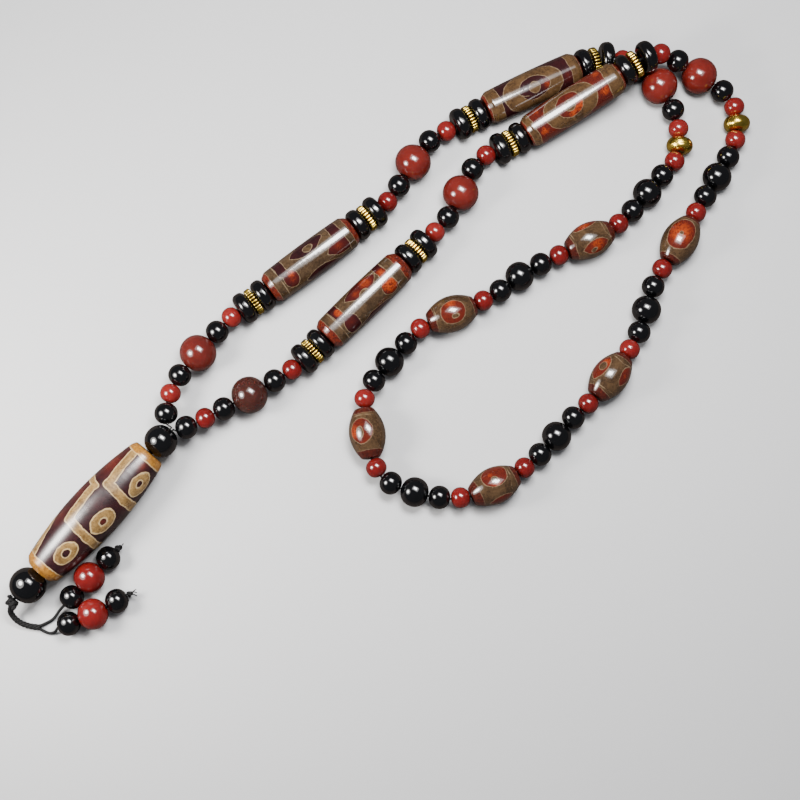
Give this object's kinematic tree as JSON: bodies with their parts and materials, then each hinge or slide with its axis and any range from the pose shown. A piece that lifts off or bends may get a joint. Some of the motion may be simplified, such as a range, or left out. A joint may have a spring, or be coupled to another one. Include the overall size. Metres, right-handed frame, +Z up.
{
  "type": "dzi bead necklace",
  "caption": "Stone bead necklace laid flat, with long and oval patterned dzi stones, a long dzi pendant and a two-legged bead tassel.",
  "frame": {"origin": "on the ground, under the middle of the outline that the necklace covers as it lies", "axes": "+Z up from the ground; +X along the longest extent, from the tassel's side to the far turn of the loop; +Y away from the viewer in the picture"},
  "size_m": [0.2695, 0.221, 0.0207],
  "materials": {
    "onyx": "polished black",
    "red_stone": "polished red",
    "agate": "polished deep red",
    "dzi": "polished brown with tan pattern",
    "gold": "polished, gold coloured",
    "thread": "matt",
    "cord": "matt, braided"
  },
  "bodies": {
    "root": {"small_black_beads": "onyx", "small_red_beads": "red_stone", "black_discs": "onyx", "gold_rings": "gold", "agate_1": "agate", "agate_2": "agate", "agate_3": "agate", "agate_4": "agate", "agate_5": "agate", "agate_6": "agate", "medium_black_1": "onyx", "medium_black_2": "onyx", "medium_black_3": "onyx", "medium_black_4": "onyx", "medium_black_5": "onyx", "medium_black_6": "onyx", "medium_black_7": "onyx", "oval_dzi_1": "dzi", "oval_dzi_2": "dzi", "oval_dzi_3": "dzi", "oval_dzi_4": "dzi", "oval_dzi_5": "dzi", "oval_dzi_6": "dzi", "long_dzi_1": "dzi", "long_dzi_2": "dzi", "long_dzi_3": "dzi", "long_dzi_4": "dzi", "gold_bead_1": "gold", "gold_bead_2": "gold", "top_bead": "onyx", "pendant_dzi": "dzi", "bottom_bead": "onyx", "tassel_black_beads": "onyx", "tassel_red_1": "red_stone", "tassel_red_2": "red_stone", "loop_thread": "thread", "pendant_cord": "cord", "tassel_cord": "cord", "knots": "cord"}
  },
  "joints": []
}
